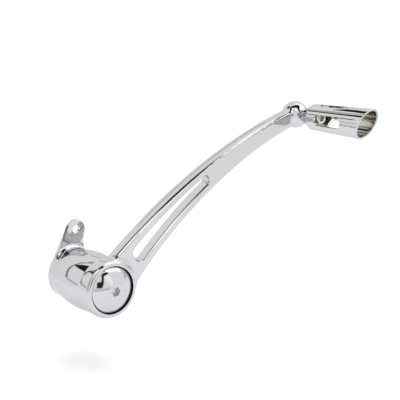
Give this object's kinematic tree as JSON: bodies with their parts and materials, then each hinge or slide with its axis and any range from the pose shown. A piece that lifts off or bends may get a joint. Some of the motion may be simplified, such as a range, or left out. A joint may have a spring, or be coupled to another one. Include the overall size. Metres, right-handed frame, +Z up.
{
  "type": "rear brake pedal",
  "caption": "Chromed motorcycle rear brake pedal: arched slotted arm from a barrel hub on a domed pivot bolt to a hollow slash-cut toe peg, with a clevis ear behind the hub.",
  "frame": {"origin": "on the pivot axis, on the shoulder face of the pivot bolt that seats against the motorcycle's frame", "axes": "+Y along the pivot axis, inboard into the frame; +X forward towards the toe peg; +Z up; outboard is -Y"},
  "size_m": [0.224, 0.1461, 0.1459],
  "materials": {
    "pedal_chrome": "polished chrome plate on a steel casting",
    "peg_chrome": "polished chrome plate on turned steel",
    "bolt_chrome": "polished chrome plate on a turned steel bolt",
    "zinc_steel": "zinc-plated steel",
    "bearing_bronze": "sintered bronze",
    "seal_rubber": "black rubber"
  },
  "bodies": {
    "pivot": {"pivot_bolt": "bolt_chrome", "head_seal": "seal_rubber", "outboard_thrust_washer": "zinc_steel", "inboard_thrust_washer": "zinc_steel"},
    "pedal": {"pedal_arm": "pedal_chrome", "outboard_bush": "bearing_bronze", "inboard_bush": "bearing_bronze", "outboard_seal": "seal_rubber", "inboard_seal": "seal_rubber", "toe_peg": "peg_chrome", "peg_collar": "peg_chrome", "peg_lock_washer": "zinc_steel", "peg_screw": "zinc_steel"}
  },
  "joints": [
    {"name": "pedal_pivot", "type": "hinge", "parent": "pivot", "child": "pedal", "pos_m": [0, 0, 0], "axis": [0, 1, 0], "range_deg": [0, 10]}
  ]
}
